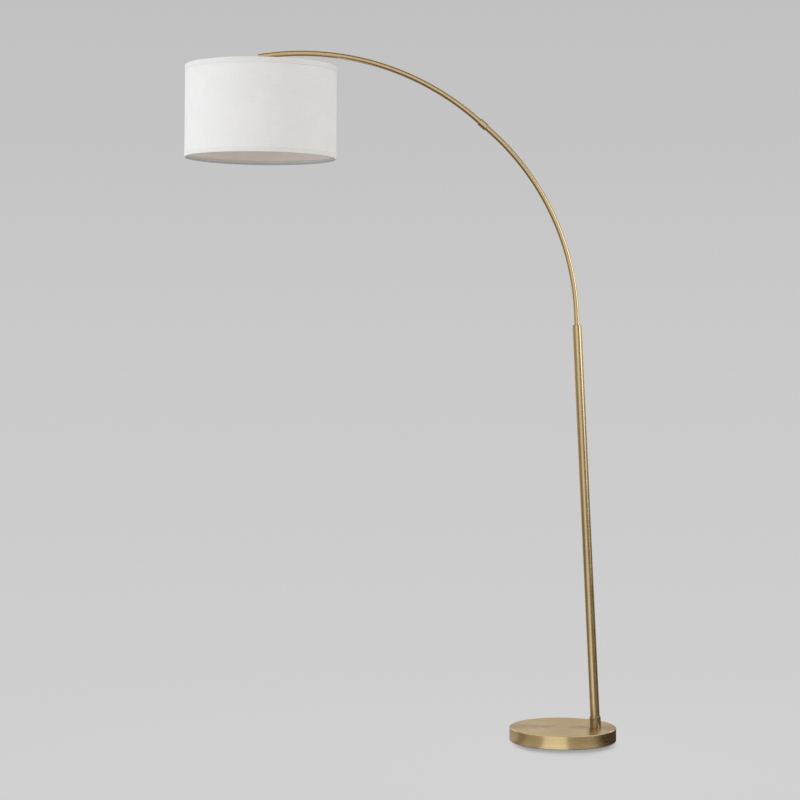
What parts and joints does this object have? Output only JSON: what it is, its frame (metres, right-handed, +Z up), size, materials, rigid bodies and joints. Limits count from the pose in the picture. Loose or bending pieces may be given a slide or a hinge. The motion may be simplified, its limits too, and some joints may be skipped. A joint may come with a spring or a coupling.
{
  "type": "arc floor lamp",
  "caption": "Arc floor lamp: round weighted base, leaning tube pole, swivelling arched arm and a hanging fabric drum shade.",
  "frame": {"origin": "middle of the base's underside, on the floor", "axes": "+Z up, -X from the base toward the shade, +Y to the back, where the lead comes out"},
  "size_m": [1.0865, 0.381, 1.735],
  "materials": {
    "brass_brushed": "brushed antique brass, satin clear lacquer",
    "brass_turned": "turned brass, satin",
    "cast_iron": "rough as cast",
    "black_steel": "black paint, matte",
    "zinc_steel": "zinc plated, satin",
    "felt": "pressed wool felt",
    "rubber": "matte black rubber",
    "lead_pvc": "smooth PVC",
    "nylon": "moulded nylon",
    "shade_fabric": "off-white linen weave",
    "shade_tape": "folded self-fabric tape",
    "liner": "matte styrene liner",
    "wire": "white powder coat",
    "phenolic": "moulded brown phenolic",
    "knob": "black phenolic, polished",
    "bulb_glass": "frosted white glass",
    "bulb_metal": "rolled bright metal",
    "bulb_insulator": "black glass"
  },
  "bodies": {
    "stand": {"base_cover": "brass_brushed", "base_weight": "cast_iron", "bottom_plate": "black_steel", "base_felt": "felt", "plate_screw_1": "zinc_steel", "plate_screw_2": "zinc_steel", "plate_screw_3": "zinc_steel", "plate_screw_4": "zinc_steel", "lead_bushing": "rubber", "terminal_block": "nylon", "pole_lead": "lead_pvc", "pole_tube": "brass_brushed", "pole_collar": "brass_turned", "collar_screw": "black_steel", "foot_plug": "zinc_steel", "foot_stud": "zinc_steel", "foot_washer": "zinc_steel", "foot_nut": "zinc_steel", "pole_bush": "brass_turned", "stop_screw": "black_steel"},
    "arm": {"arm_spigot": "zinc_steel", "lower_arc_tube": "brass_brushed", "arc_coupler": "brass_turned", "lower_ferrule": "brass_turned", "upper_ferrule": "brass_turned", "upper_arc_tube": "brass_brushed", "arm_end_disc": "brass_turned", "arm_lead": "lead_pvc", "drop_stem": "brass_turned", "stem_lock_nut": "brass_turned", "holder_cap": "brass_turned", "holder_body": "brass_turned", "holder_core": "phenolic", "holder_sleeve": "phenolic", "screw_shell": "brass_turned", "centre_contact": "brass_turned", "shade_ring_nut": "brass_turned", "shade_spider": "wire", "shade_top_ring": "wire", "shade_bottom_ring": "wire", "shade_liner": "liner", "shade_fabric": "shade_fabric", "shade_seam": "shade_fabric", "shade_top_trim": "shade_tape", "shade_bottom_trim": "shade_tape"},
    "switch": {"switch_shaft": "brass_turned", "switch_knob": "knob"},
    "bulb": {"bulb_globe": "bulb_glass", "bulb_cap": "bulb_metal", "bulb_insulator": "bulb_insulator", "bulb_contact": "bulb_metal"}
  },
  "joints": [
    {"name": "arm_swivel", "type": "hinge", "parent": "stand", "child": "arm", "pos_m": [0.03435, 0, 1.04583], "axis": [-0.048, 0, 0.9988], "range_deg": [-90, 90]},
    {"name": "switch_turn", "type": "hinge", "parent": "arm", "child": "switch", "pos_m": [-0.75934, 0, 1.66934], "axis": [0, -1, 0], "continuous": true},
    {"name": "bulb_unscrew", "type": "slide", "parent": "arm", "child": "bulb", "axis": [-0.011, 0, -0.9999], "range_m": [0, 0.022]}
  ]
}
